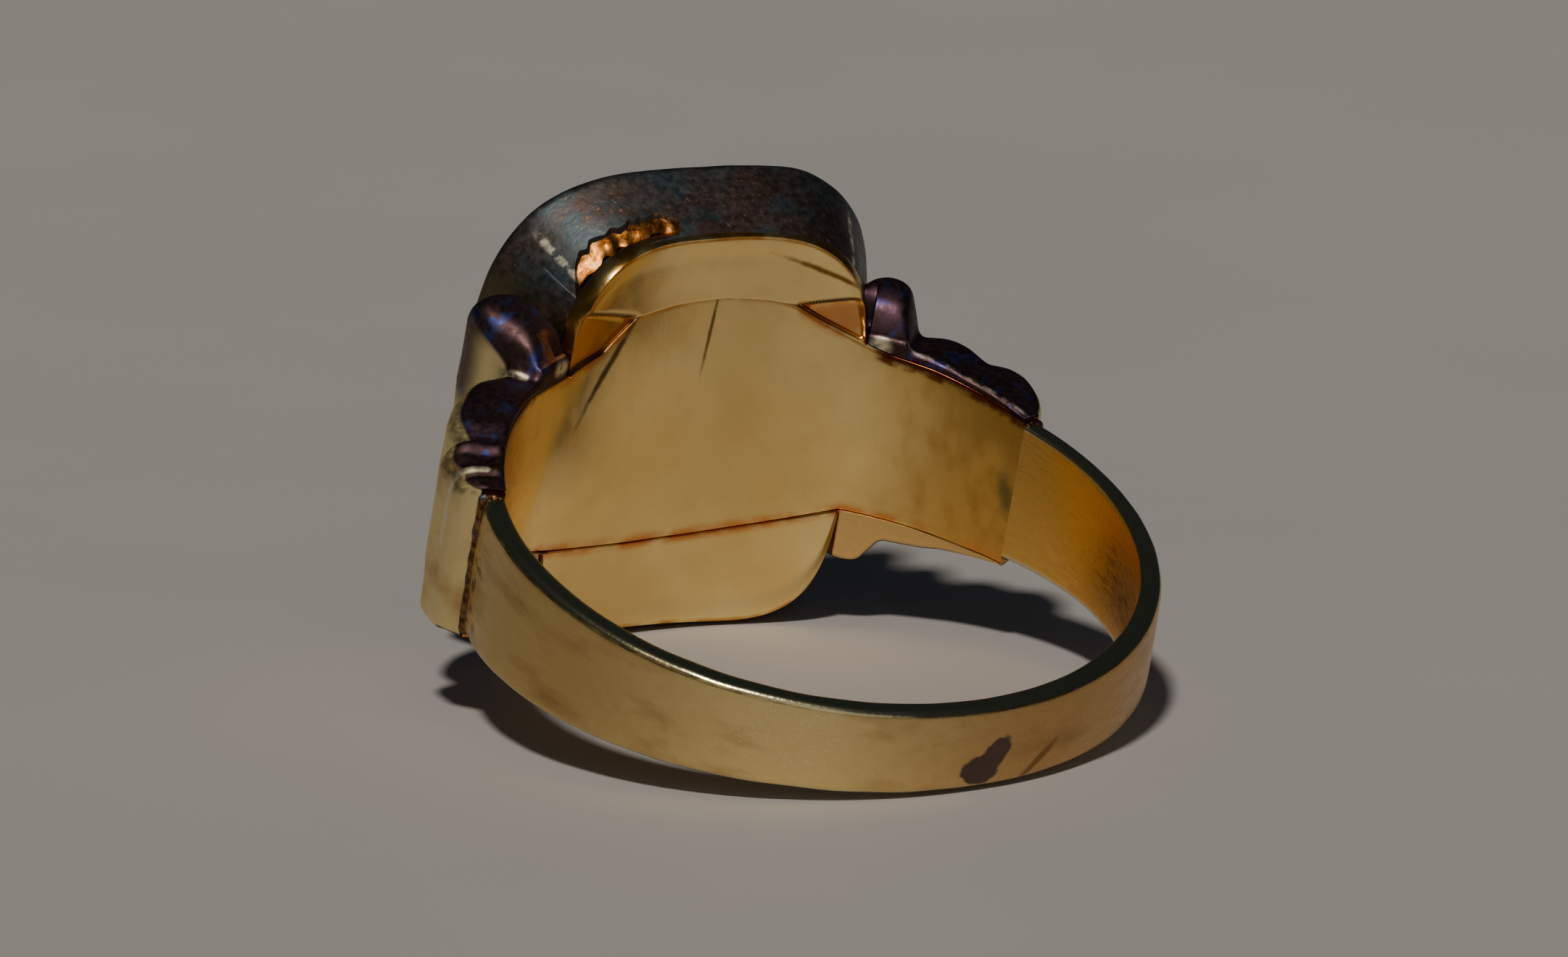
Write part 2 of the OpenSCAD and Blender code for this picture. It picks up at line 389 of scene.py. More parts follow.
# Fire-stain and painted highlight: an orange band along the seam, widened to stand for the bright rim
# there.
seam_stain_and_highlight = mark_mask(tree, "from_seam", 0.42, 0.04)
stained = blotches(tree, place, 0.9, 0.35, 0.55)
rim_stain = mark_mask(tree, "rim", 0.25, 1.0)
by_rim = mark_mask(tree, "rim", 0.02, 0.4)
drips = blotches(tree, place, 1.6, 0.42, 0.6)
# Painted reflection: two dark streaks where the polished sheet mirrors dark surroundings.
dark_painted_reflection = patch(tree, place, (-2.37, 2.74), (1.8, 0.13), 60.4, 0.5, 1.2)
thin_dark_painted_reflection = patch(tree, place, (1.36, 3.4), (1.3, 0.06), 86, 0.6, 1.2)
# Painted shade over the left end of the liner, which lies in shadow.
left_end_painted_shade = patch(tree, place, (-10.6, -0.3), (3.0, 4.2), 0, 0.4, 1.1)
bloom = patch(tree, place, (11.9, -0.2), (0.3, 0.7), 20, 0.5, 1.4)
ends = mark_mask(tree, "end", 0.0, 1.0)
colour = paint(tree, "#fbe096", [
    ("#eecd80", cloudy), ("#daac58", ends), ("#bf9044", ends, hazy),
    ("#b07c34", left_end_painted_shade), ("#e0954e", seam_stain_and_highlight, stained), ("#6a5430", dark_painted_reflection),
    ("#857040", thin_dark_painted_reflection), ("#8c7a44", bloom), ("#8a4c1e", by_rim, drips),
    ("#5c3016", rim_stain)])
metal(tree, colour, (0.2, 0.34, hazy), rubbed, 0.002)

rows, points, places, seam_marks, end_marks, rim_marks = [], [], [], [], [], []
for i in range(LINER_STEPS + 1):
    angle = (JOINT_ANGLE + 0.12) * (i / LINER_STEPS * 2 - 1)
    row = []
    for side in (1, -1):
        level = flush(angle) if side > 0 else 0
        reach = liner_reach(angle, side) - 0.01 * (1 - level)
        soft = SEAM_ROUND - 0.069 * level
        half = [(BAND_R - 0.02, reach * t) for t in (0.05, 0.5, 1.0)] + [(FINGER_R + 0.2, reach)]
        half += arc(FINGER_R + soft, reach - soft, soft, 90, 180, 3)
        half += [(FINGER_R, (reach - soft) * (1 - (k + 0.5) / 14)) for k in range(14)]
        for r, z in half if side > 0 else reversed(half):
            p = on_ring(angle, r, side * z)
            row.append(on_ring(angle, r + ease((FINGER_R + 0.3 - r) / 0.3) * flow(p), side * z))
            places.append((math.radians(angle) * FINGER_R, side * z, r))
            beyond = ease((abs(angle) - 34) / 8) if side > 0 else 0
            seam_marks.append(reach - z + level + beyond)
            rim_marks.append(beyond * ease(1 - (reach - z) / 0.5))
            end_marks.append(ease((abs(angle) - 30) / 40))
    rows.append(row)
    points += row
add_piece("finger_liner", points, skin(rows), places,
          {"from_seam": seam_marks, "end": end_marks, "rim": rim_marks}, liner_gold)

# ---------------------------------------------------------------------------------------------
# BACK PLATES. Two curved pieces of gold sheet that close the hollow head on the finger's side,
# above and below the liner. Each is cut to the outline of the head's foot and lies flush with
# the liner, and its outer edge shows as a thin line under the head's wall.
PLATE_HALF_W = 5.15
PLATE_HALF_L = 6.98
FOOT_SQUARENESS = 4.2
PLATE_STEPS = 120
LEFT_NOTCH, RIGHT_NOTCH = -8.5, 23.3  # angles at which the notches beside the liner begin


def on_head(x, y, z):
    """An upright point from one in the head's own turned frame."""
    a = math.radians(HEAD_TURN)
    return Vector((x * math.cos(a) + y * math.sin(a), y * math.cos(a) - x * math.sin(a), z))


def plate_half_length(x):
    """How far the plates' cushion outline reaches along the finger, across at x."""
    left = max(0.0, 1 - abs(x / PLATE_HALF_W) ** FOOT_SQUARENESS)
    return PLATE_HALF_L * left ** (1 / FOOT_SQUARENESS)


def notch_edge(angle, near, side):
    """Height up to which the upper plate was filed back beside the liner's swelling."""
    if side > 0 and angle > RIGHT_NOTCH:
        return 4.42 + 0.045 * (angle - RIGHT_NOTCH)
    if side > 0 and angle < LEFT_NOTCH:
        return 4.31 + 0.05 * (LEFT_NOTCH - angle)
    return near - 1


# Polished gold sheet, a little lighter than the liner: cloudy, with amber and copper tones in
# the filed notches, painted shade in the creases along the notches' edges and where the plate
# rolls towards the wall, and orange fire-stain with a painted highlight along the seam. Its
# rubbing marks run round the finger and are drawn 0.1 mm wide in place of 0.03 mm.
plate_gold, tree, place = new_finish("polished back plate gold")
cloudy = blotches(tree, place, 0.22, 0.4, 0.62)
hazy = blotches(tree, place, 1.3, 0.45, 0.75, (1, 0.6, 1), 5.0)
rubbed = blotches(tree, place, 10.0, 0.1, 0.9, (0.15, 1, 1), 4.0)
# Fire-stain and painted highlight: an orange band along the seam with the liner.
seam_stain_and_highlight = mark_mask(tree, "from_seam", 0.35, 0.05)
stained = blotches(tree, place, 0.9, 0.35, 0.55)
rim = mark_mask(tree, "rim", 0.2, 0.9)
in_notch = mark_mask(tree, "notch", 0.4, 0.9)
# Painted shade: dark soft lines in the creases along the notches' edges.
notch_line = mark_mask(tree, "notch_line", 0.3, 0.9)
copper = patch(tree, place, (5.5, 4.05), (0.95, 0.8), 0, 0.5, 0.8)
amber = patch(tree, place, (-3.4, 3.8), (2.0, 1.2), 0, 0.3, 0.9)
# Painted shade: a dark line along the crease where the plate rolls towards the wall.
roll_painted_shade = patch(tree, place, (4.9, 5.72), (1.5, 0.1), -17, 0.5, 1.2)
colour = paint(tree, "#ffe69e", [
    ("#f2d288", cloudy), ("#dda23e", in_notch, amber), ("#e0a05e", in_notch, copper),
    ("#6b6244", notch_line), ("#8a6430", roll_painted_shade), ("#cf9a4c", rim, stained),
    ("#e0954e", seam_stain_and_highlight, stained)])
metal(tree, colour, (0.2, 0.34, hazy), rubbed, 0.002)

for side, name in ((1, "upper_back_plate"), (-1, "lower_back_plate")):
    columns, points, places = [], [], []
    seam_marks, rim_marks, notch_marks, notch_painted_shades = [], [], [], []
    for i in range(PLATE_STEPS + 1):
        x = PLATE_HALF_W * math.sin(math.pi / 2 * (i / PLATE_STEPS * 2 - 1)) * 0.9995
        angle = HEAD_TURN + math.degrees(math.asin(x / FINGER_R))
        level = flush(angle) if side > 0 else 0
        near = liner_reach(angle, side) + 0.01 * (1 - level)
        far = max(near + 0.02, plate_half_length(x))
        soft = min(SEAM_ROUND - 0.069 * level, (far - near) / 3)
        out = min(SEAM_ROUND, (far - near) / 3)
        notch_top = notch_edge(angle, near, side)
        section = [(FINGER_R + 0.25, near), (FINGER_R + soft, near),
                   (FINGER_R + soft * 0.3, near + soft * 0.3), (FINGER_R, near + soft)]
        width = far - near - soft - 1.5 * out
        section += [(FINGER_R, near + soft + width * (k + 1) / 28) for k in range(28)]
        section += [(FINGER_R + out * 0.35, far - out * 0.5), (FINGER_R + out * 1.2, far),
                    (FINGER_R + 0.35, far + 0.02), (BAND_R - 0.1, far + 0.02), (BAND_R, far - 0.03)]
        section += [(BAND_R, near + (far - near) * (1 - k / 4)) for k in range(1, 5)]
        column = []
        for r, z in section:
            inside = ease((FINGER_R + 0.3 - r) / 0.3)
            p = on_ring(angle, r, side * z)
            sink = 0.16 * ease((notch_top + 0.12 - z) / 0.3) * inside * ease((z - near) / 0.06)
            lean_in = 0.2 * ease((z - 4.2) / 3.2) + 0.14 * ease(1 - (far - z) / 1.0)
            column.append(on_ring(angle, r + sink - lean_in + inside * flow(p), side * z))
            places.append((math.radians(angle) * FINGER_R, side * z, r))
            seam_marks.append(z - near + level)
            rim_marks.append(ease(1 - (far - z) / 0.3))
            notch_marks.append(ease((notch_top - z) / 0.15 + 0.5))
            # Where the painted shade line runs along the notch's edge.
            notch_painted_shades.append(math.exp(-((z - notch_top) / 0.13) ** 2) * (notch_top > near - 0.5))
        columns.append(column)
        points += column
    faces = skin(columns)
    if side > 0:
        faces = [tuple(reversed(f)) for f in faces]
    add_piece(name, points, faces, places,
              {"from_seam": seam_marks, "rim": rim_marks, "notch": notch_marks,
               "notch_line": notch_painted_shades}, plate_gold)

# ---------------------------------------------------------------------------------------------
# SHOULDERS. A cast gold moulding on each side of the head: a round collar bead by the head,
# then a long swell, a groove and a fluted end swell that meets the shank. Their sides have
# toned to a purple-black skin and their outer faces are rubbed back to olive gold.
CORNER_ROUND = 0.45
LIP_TOP = 3.75
SHOULDER_STEPS = 190
LINE = {  # (angle from the middle of the face, radius to the top, half-width), right then left
    1: [(34.0, 12.1, 4.4), (36.5, 12.5, 4.6), (39.5, 12.6, 4.65), (41.8, 12.4, 4.5),
        (43.3, 12.0, 4.05), (44.4, 11.7, 3.6), (45.4, 11.68, 3.44), (46.8, 11.88, 3.4),
        (48.4, 12.08, 3.38), (50.2, 12.16, 3.34), (52.5, 12.12, 3.28), (54.5, 11.98, 3.2),
        (56.2, 11.9, 3.12), (57.8, 12.0, 3.08), (59.6, 12.16, 3.02), (61.6, 12.16, 2.96),
        (63.2, 12.0, 2.9), (65.0, 11.75, 2.84), (66.8, 11.5, 2.78), (68.4, 11.15, 2.7),
        (69.45, 10.82, 2.62)],
    -1: [(22.0, 12.8, 4.4), (24.5, 13.1, 4.65), (27.5, 13.3, 4.7), (30.4, 13.25, 4.6),
         (32.4, 12.7, 4.2), (33.8, 11.8, 3.7), (35.0, 11.5, 3.45), (36.8, 11.75, 3.4),
         (39.5, 12.02, 3.4), (44.0, 12.12, 3.38), (48.5, 12.05, 3.28), (52.0, 11.85, 3.2),
         (54.2, 11.6, 3.08), (56.0, 11.42, 3.0), (57.2, 11.6, 3.08), (58.4, 11.82, 3.1),
         (60.4, 11.9, 2.9), (62.4, 11.84, 2.84), (64.5, 11.6, 2.92), (66.6, 11.5, 2.72),
         (68.4, 11.2, 2.66), (69.45, 10.85, 2.62)],
}


def smooth_line(knots, at):
    """Values between knots along a smooth line through them (Catmull-Rom)."""
    for k in range(len(knots) - 1):
        if at <= knots[k + 1][0] or k == len(knots) - 2:
            break
    a, b = knots[max(k - 1, 0)], knots[k]
    c, d = knots[k + 1], knots[min(k + 2, len(knots) - 1)]
    t = min(max((at - b[0]) / (c[0] - b[0]), 0.0), 1.0)
    values = []
    for n in (1, 2):
        slope_b = (c[n] - a[n]) / (c[0] - a[0]) * (c[0] - b[0])
        slope_c = (d[n] - b[n]) / (d[0] - b[0]) * (c[0] - b[0])
        values.append((2 * t ** 3 - 3 * t ** 2 + 1) * b[n] + (t ** 3 - 2 * t ** 2 + t) * slope_b
                      + (3 * t ** 2 - 2 * t ** 3) * c[n] + (t ** 3 - t ** 2) * slope_c)
    return values


# Cast gold with the skin left by the mould: violet, blue and near-black oxide, dull in the
# hollows, worn through to olive gold outside. The bright lines along the ridges and the cream
# patch at each collar are worn metal with a painted highlight on it, and the cream bands across
# the left shoulder's saddle and end are painted highlights. The casting's grain is about 0.2 mm
# across and is drawn at that size.
shoulder_gold, tree, place = new_finish("purple-toned cast gold")
cast = blotches(tree, place, 5.0, 0.35, 0.65, detail=5.0)
rubbed = mark_mask(tree, "rubbed", 0.3, 0.75)
rim = mark_mask(tree, "rim", 0.3, 0.8)
violet = blotches(tree, place, 0.9, 0.42, 0.6)
blue = blotches(tree, place, 1.4, 0.56, 0.66)
brown = blotches(tree, place, 0.5, 0.5, 0.75)
# Worn metal with a painted highlight: a pale line along the ridge next to the inner rim.
crest = mark_mask(tree, "crest", 0.35, 0.95)
beaded = blotches(tree, place, 2.2, 0.42, 0.6)
# Worn metal with a painted highlight on each collar, and painted highlights across the left saddle
# and end.
bite = mark_mask(tree, "bite", 0.3, 0.9)
broken = blotches(tree, place, 2.0, 0.3, 0.5)
colour = paint(tree, "#4c3a3a", [
    ("#523d49", violet), ("#44487a", blue), ("#eedca0", rubbed), ("#c49a62", rubbed, brown),
    ("#ecc983", rim), ("#f3e9c8", bite, broken), ("#efe2d8", crest, beaded)])
metal(tree, colour, (0.4, 0.56, cast), cast, 0.0025)

for side, name in ((-1, "left_shoulder"), (1, "right_shoulder")):
    rows, points, places = [], [], []
    rubbed_marks, rim_marks, crest_marks, bright_wear_and_highlight_marks = [], [], [], []
    knots = LINE[side]
    first, last = knots[0][0], knots[-1][0]
    plate_end = math.degrees(math.asin(5.12 / FINGER_R)) + side * HEAD_TURN
    for i in range(SHOULDER_STEPS + 1):
        a = first + (last - first) * i / SHOULDER_STEPS
        top, half_w = smooth_line(knots, a)
        hidden = ease((plate_end + 0.35 - a) / 0.3)
        collar = ease((half_w - 3.45) / 0.9)
        row = []
        for way in (1, -1):
            inner = FINGER_R + hidden * (SHEET_T + 0.02 if way > 0 else 0.04)
            near = liner_reach(side * a, way) + 0.01
            lip = min(half_w, LIP_TOP) if way > 0 else half_w - 0.25 * collar
            lip = max(lip, near + 0.1)
            wide = max(half_w - 0.25 * collar * (way < 0), lip + 0.001)
            wide += 0.22 * collar * (way > 0)
            corner = CORNER_ROUND
            if way > 0:
                corner += 0.3 * collar + 0.4 * (side < 0) * (1 - collar)
            corner = min(corner, (top - inner) * 0.48)
            drop = min(0.22, (lip - near) * 0.5)
            half = [(BAND_R + 0.03, 0.3), (BAND_R + 0.03, near)]
            half += [(inner + 0.05, near), (inner, near + 0.02)]
            half += [(inner, near + 0.02 + (lip - drop - near - 0.02) * k / 4)
                     for k in (1, 2, 3, 4)]
            half += [(inner + 0.05, lip - drop * 0.45), (inner + 0.15, lip - drop * 0.1),
                     (inner + 0.27, lip)]
            rise = top - corner - inner - 0.27
            for k in range(1, 7):
                t = k / 6
                bow = math.sqrt(1 - (1 - t) ** 2)
                half.append((inner + 0.27 + rise * t, lip + (wide - 0.04 - lip) * bow))
            half += arc(top - corner, wide - corner - 0.04, corner, 82, 10, 8)
            flat = wide - corner - 0.04
            half += [(top + 0.05 * (1 - t * t), flat * t) for t in (0.86, 0.7, 0.5, 0.3, 0.1)]
            for r, z in half if way > 0 else reversed(half):
                p = on_ring(side * a, r, way * z)
                out = ease((r - inner) / 0.5)
                shift = out * (worn(p, 1.3, 0.07, 31) + worn(p, 0.45, 0.012, 33))
                rise_z = out * worn(p, 1.1, 0.06, 35) * ease(z)
                row.append(on_ring(side * a, r + shift, way * z + rise_z))
                places.append((math.radians(side * a) * BAND_R, way * z, r))
                rubbed_marks.append(ease((r - top + corner * 0.8) / (corner * 0.6))
                                    * ease((wide - z) / 0.35 + 0.1)
                                    * (1 - 0.6 * collar * ease(z / 2)))
                rim_marks.append(ease((inner + 0.12 - r) / 0.1) * (1 - hidden) * (way < 0))
                # The crest: worn metal with a painted highlight along the ridge.
                crest_marks.append(math.exp(-((r - inner - 0.15) / 0.1) ** 2) * (side * way > 0)
                                   * ease((a - plate_end - 6) / 2) * ease((z - lip + 0.2) / 0.1))
                # The collar's cream patch: worn metal with a painted highlight.
                bite = math.exp(-((a - plate_end - 2.6) / 2.6) ** 2 - ((z - 3.4) / 0.35) ** 2)
                # Painted highlight bands across the left shoulder's saddle and its end.
                saddle_highlight = max(math.exp(-((a - at) / 0.8) ** 2) for at in (35.2, 64.8)) * (side < 0)
                bright_wear_and_highlight_marks.append(max(bite * ease((inner + 0.45 - r) / 0.2),
                                      saddle_highlight * ease((r - inner - 0.35) / 0.2)) * (way > 0))
        rows.append(row)
        points += row
    faces = skin(rows)
    if side > 0:
        faces = [tuple(reversed(f)) for f in faces]
    add_piece(name, points, faces, places,
              {"rubbed": rubbed_marks, "rim": rim_marks, "crest": crest_marks,
               "bite": bright_wear_and_highlight_marks},
              shoulder_gold, 50)

# ---------------------------------------------------------------------------------------------
# HEAD SIDE WALL. A strip of gold sheet bent to a rounded rectangle and flared like a dish, with
# a rolled rim that holds the face. It is toned blue-black, and a small window was pierced
# through it above the upper back plate, with a ragged edge left by the saw.
FOOT_Y = 8.0
FOOT_HALF = (4.9, 6.3)
FACE_HALF = (7.1, 8.22)
FACE_SQUARENESS = 3.2
WALL_T = 0.6
RIM_ROUND = 0.5
WALL_BOTTOM_R = 9.88
SIDE_RISE = 0.5  # how much further from the finger the lower edge is beside the liner
REST_FLAT = 0.16  # how far the rim's lower side is drawn in where it lies on the floor
WINDOW = [  # (x, height of the lower edge, height of the upper edge)
    (-5.2, 8.9, 9.2), (-4.9, 8.85, 9.95), (-4.55, 8.9, 10.3), (-3.9, 9.1, 10.42),
    (-3.2, 9.3, 10.5), (-2.5, 9.52, 10.62), (-1.9, 9.68, 10.72), (-1.5, 9.85, 10.6),
    (-1.2, 10.1, 10.35),
]
WALL_COUNT = 560  # points round the head
WALL_STEPS = 18  # rows up the wall, two of which follow the window's edges
LOW_ROW, HIGH_ROW = 3, 10
INNER_TOP_Y = 11.9
LEVEL_STEP = 0.05


def outline(half_w, half_l, squareness, count):
    """Evenly spaced points (x, z) round a rounded rectangle, from the middle of its +X side."""
    fine_turns = np.linspace(0, 2 * math.pi, 8001)
    spread = fine_turns - 0.245 * np.sin(4 * fine_turns)
    c, s = np.cos(spread), np.sin(spread)
    xs = half_w * np.sign(c) * np.abs(c) ** (2 / squareness)
    zs = half_l * np.sign(s) * np.abs(s) ** (2 / squareness)
    gone = np.concatenate([[0], np.cumsum(np.hypot(np.diff(xs), np.diff(zs)))])
    wanted = np.linspace(0, gone[-1], count, endpoint=False)
    return np.stack([np.interp(wanted, gone, xs), np.interp(wanted, gone, zs)], axis=1)


def head_outline(y, inset, count):
    """The head's outline at a height above the finger, taken in by an inset."""
    t = (y - FOOT_Y) / (FACE_HEIGHT - FOOT_Y)
    half_w = FOOT_HALF[0] + (FACE_HALF[0] - FOOT_HALF[0]) * t - inset
    half_l = FOOT_HALF[1] + (FACE_HALF[1] - FOOT_HALF[1]) * t - inset
    return outline(half_w, half_l, FOOT_SQUARENESS + (FACE_SQUARENESS - FOOT_SQUARENESS) * t, count)


levels = [FOOT_Y + LEVEL_STEP * k for k in range(94)]
stacks = {}
for inset in (0.0, WALL_T):
    stacks[inset] = np.stack([head_outline(y, inset, WALL_COUNT) for y in levels])


def wall_point(j, y, inset):
    """(x, z) of the wall's surface at outline point j and height y."""
    at = min(max((y - levels[0]) / LEVEL_STEP, 0), len(levels) - 1.001)
    k = int(at)
    stack = stacks[inset]
    return stack[k, j] * (1 - at + k) + stack[k + 1, j] * (at - k)


def wall_bottom(j, inset):
    """Height of the wall's lower edge at outline point j, where it meets the back plates."""
    y = 9.9
    for _ in range(12):
        x, z = wall_point(j, y, inset)
        radius = WALL_BOTTOM_R + SIDE_RISE * (1 - ease((z - 5.7) / 0.7))
        y = math.sqrt(radius ** 2 - x * x)
    return y


def window_edges(j, inset):
    """The window's lower and upper edge at outline point j, or None beside the window."""
    x, z = wall_point(j, 10.2, 0.0)
    if z < 0 or not WINDOW[0][0] < x < WINDOW[-1][0]:
        return None
    low = np.interp(x, [w[0] for w in WINDOW], [w[1] for w in WINDOW])
    high = np.interp(x, [w[0] for w in WINDOW], [w[2] for w in WINDOW])
    return low + worn((x, 0, 0), 0.3, 0.06, 40), high + worn((x, 0, 0), 0.22, 0.16, 41)


# Gold toned blue-black all over, then handled: a dull dark skin with brown and blue casts, dust
# that has stuck in it, olive metal at the ends, and along the two corners bare metal with a
# painted highlight where the corner ridges catch the light. The dust is about 0.1 mm across and
# is drawn at that size.
blackened_gold, tree, place = new_finish("blue-black toned gold")
cast = blotches(tree, place, 4.0, 0.35, 0.65, detail=6.0)
dust = blotches(tree, place, 9.0, 0.62, 0.7, detail=2.0)
browned = blotches(tree, place, 0.45, 0.42, 0.62)
blued = blotches(tree, place, 0.8, 0.5, 0.64)
side_end = mark_mask(tree, "end", 0.2, 0.9)
# Bare metal with a painted highlight along the corner ridges where they catch the light.
corner = mark_mask(tree, "corner", 0.25, 0.95)
bared = blotches(tree, place, 3.0, 0.38, 0.52)
colour = paint(tree, "#696a6c", [
    ("#685853", browned), ("#5c696f", blued), ("#6e6138", side_end),
    ("#b98468", dust, browned), ("#f2eedb", corner, bared)])
metal(tree, colour, (0.4, 0.56, cast), cast, 0.004)


def wall_heights(j, inset, top):
    """Heights of the wall's rows at outline point j; two rows follow the window's edges."""
    bottom = wall_bottom(j, inset)
    heights = [bottom + (top - bottom) * k / WALL_STEPS for k in range(WALL_STEPS + 1)]
    edges = window_edges(j, inset)
    if edges:
        low, high = max(edges[0], bottom + 0.1), edges[1]
        heights = list(np.interp(range(WALL_STEPS + 1), [0, LOW_ROW, HIGH_ROW, WALL_STEPS],
                                 [bottom, low, max(high, low + 0.05), top]))
    return heights


def wall_row(k, heights, inset):
    """The points (x, y, z) of row k of one of the wall's two surfaces."""
    row = []
    for j in range(WALL_COUNT):
        x, z = wall_point(j, heights[j][k], inset)
        row.append((x, heights[j][k], z))
    return row


outer_heights = [wall_heights(j, 0.0, FACE_HEIGHT - RIM_ROUND) for j in range(WALL_COUNT)]
inner_heights = [wall_heights(j, WALL_T, INNER_TOP_Y) for j in range(WALL_COUNT)]
rows = [wall_row(k, outer_heights, 0.0) for k in range(WALL_STEPS + 1)]
for turn in range(10, 91, 10):
    inset = RIM_ROUND * (1 - math.cos(math.radians(turn)))
    y = FACE_HEIGHT - RIM_ROUND + RIM_ROUND * math.sin(math.radians(turn))
    rows.append([(x, y, z) for x, z in head_outline(y, inset, WALL_COUNT)])
for inset, y in ((0.62, FACE_HEIGHT), (0.78, FACE_HEIGHT - 0.02), (0.85, FACE_HEIGHT - 0.09),
                 (0.86, FACE_HEIGHT - 0.3), (0.86, INNER_TOP_Y + 0.05)):
    rows.append([(x, y, z) for x, z in head_outline(y, inset, WALL_COUNT)])
first_inner = len(rows)
rows += [wall_row(k, inner_heights, WALL_T) for k in reversed(range(WALL_STEPS + 1))]

points, places, end_marks, corner_marks = [], [], [], []
for i, row in enumerate(rows):
    for x, y, z in row:
        p = Vector((x, y, z))
        outer = 1.0 if i < WALL_STEPS + 10 else 0.0
        away = Vector((x, 0, z)).normalized()
        p += away * outer * (worn(p, 2.5, 0.07, 43) + worn(p, 0.8, 0.014, 45))
        p.y += outer * worn(p, 2.0, 0.05, 47) * ease((y - 12) / 0.6)
        p.z += REST_FLAT * ease((y - 9) / 3.2) * ease(-z / 6.5)
        points.append(on_head(*p))
        places.append((x, y, z))
        t = (y - FOOT_Y) / (FACE_HEIGHT - FOOT_Y)
        square = abs(x / (FOOT_HALF[0] + (FACE_HALF[0] - FOOT_HALF[0]) * t))
        end_marks.append(ease((square - 0.8) / 0.25) * ease((12.9 - y) / 0.6))
        long = abs(z / (FOOT_HALF[1] + (FACE_HALF[1] - FOOT_HALF[1]) * t))
        # Where the corner's painted highlight lies: along the ridges, fading towards the rim.
        corner_marks.append(outer * math.exp(-((square - long) / (0.02 + 0.02 * t)) ** 2)
                            * ease((12.2 - y) / 0.8) * (1.3 - 0.4 * t))

# The window: the faces between its two rows are taken out of both surfaces, and its four sides
# are closed between them.
faces = [tuple(reversed(f)) for f in skin(rows, closed=True)]
inner_low = first_inner + WALL_STEPS - LOW_ROW
inner_high = first_inner + WALL_STEPS - HIGH_ROW
open_at = [window_edges(j, 0.0) is not None for j in range(WALL_COUNT)]
pierced = [j for j in range(WALL_COUNT) if open_at[j] and open_at[(j + 1) % WALL_COUNT]]
first, last = min(pierced), max(pierced) + 1
gone = set()
for j in pierced:
    for row in list(range(LOW_ROW, HIGH_ROW)) + list(range(inner_high, inner_low)):
        gone.add(frozenset((row * WALL_COUNT + j, row * WALL_COUNT + j + 1,
                            (row + 1) * WALL_COUNT + j, (row + 1) * WALL_COUNT + j + 1)))
faces = [f for f in faces if frozenset(f) not in gone]
for j in pierced:
    low, high = LOW_ROW * WALL_COUNT + j, HIGH_ROW * WALL_COUNT + j
    deep_low, deep_high = inner_low * WALL_COUNT + j, inner_high * WALL_COUNT + j
    faces.append((low, low + 1, deep_low + 1, deep_low))
    faces.append((high + 1, high, deep_high, deep_high + 1))
for k in range(HIGH_ROW - LOW_ROW):
    low, deep = (LOW_ROW + k) * WALL_COUNT, (inner_low - k) * WALL_COUNT
    faces.append((low + first, deep + first, deep - WALL_COUNT + first, low + WALL_COUNT + first))
    faces.append((low + last, low + WALL_COUNT + last, deep - WALL_COUNT + last, deep + last))
add_piece("head_side_wall", points, faces, places, {"end": end_marks, "corner": corner_marks},
          blackened_gold)

# ---------------------------------------------------------------------------------------------
# FACE PLATE. A slightly domed sheet set inside the rim, left plain and satin. On its hidden
# underside, next to the wall, a rough ledge of solder and sheet with a sawn, toothed edge
# shows through the window.
PLATE_COUNT = 520  # points round the plate
PLATE_UNDER_Y = FACE_HEIGHT - 0.8
DOME = 0.16
LEDGE_DROP = 0.5
LEDGE_REACH = 1.6
LEDGE_START = 0.55
TOOTH_DEPTH = 0.34
TONGUE_DEPTH = (0.2, 0.44)  # from the wall's outer surface to the tongue's two sides
TONGUE_TOP_Y = 11.5
TONGUE_STEPS = 8

# Satin gold, brushed one way so that it takes a broad soft highlight, and toned in patches. The
# underside is painted black as shade, for the dark inside of the hollow head seen through the
# window, and the ledge is bare grainy solder that glows orange. The brush marks are about 0.05
# mm wide and are drawn 0.15 mm wide.
face_gold, tree, place = new_finish("satin face gold")
brushed = blotches(tree, place, 6.0, 0.35, 0.7, (1, 1, 0.12), 4.0)
toned = blotches(tree, place, 0.3, 0.42, 0.62)
grit = blotches(tree, place, 3.5, 0.42, 0.6, detail=6.0)
under = mark_mask(tree, "under", 0.3, 0.7)
ledge = mark_mask(tree, "ledge", 0.3, 0.7)
# The underside is painted black as shade; the ledge keeps its own orange.
colour = paint(tree, "#c4a05a", [
    ("#a58549", toned), ("#060302", under), ("#93581c", ledge), ("#d08f4a", ledge, grit)])
metal(tree, colour, (0.3, 0.48, brushed), brushed, 0.006)

ledge_edge = head_outline(PLATE_UNDER_Y, 0.0, PLATE_COUNT)


def toothed(j):
    """How far in from the wall the ledge's sawn edge reaches at outline point j."""
    x, z = ledge_edge[j]
    teeth = abs((j * 0.21) % 1.0 - 0.5) * TOOTH_DEPTH
    return LEDGE_REACH + teeth + worn((x, 0, z), 0.6, 0.35, 51)


def level_row(outline_y, inset, y):
    """A level row of points round the plate, on the head's outline at a height, taken in."""
    return [(x, y, z) for x, z in head_outline(outline_y, inset, PLATE_COUNT)]


def ledge_row(drop, share):
    """A rough row round the ledge, at a drop and at a share of the way to its sawn edge."""
    row = []
    for j in range(PLATE_COUNT):
        reach = LEDGE_START + (toothed(j) - LEDGE_START) * share
        x, z = ledge_edge[j]
        across = Vector((x, 0, z)).normalized()
        y = PLATE_UNDER_Y - drop + worn((x, 0, z), 0.3, 0.12, 53 + drop) * (drop > 0.1)
        row.append((x - across.x * reach, y, z - across.z * reach))
    return row


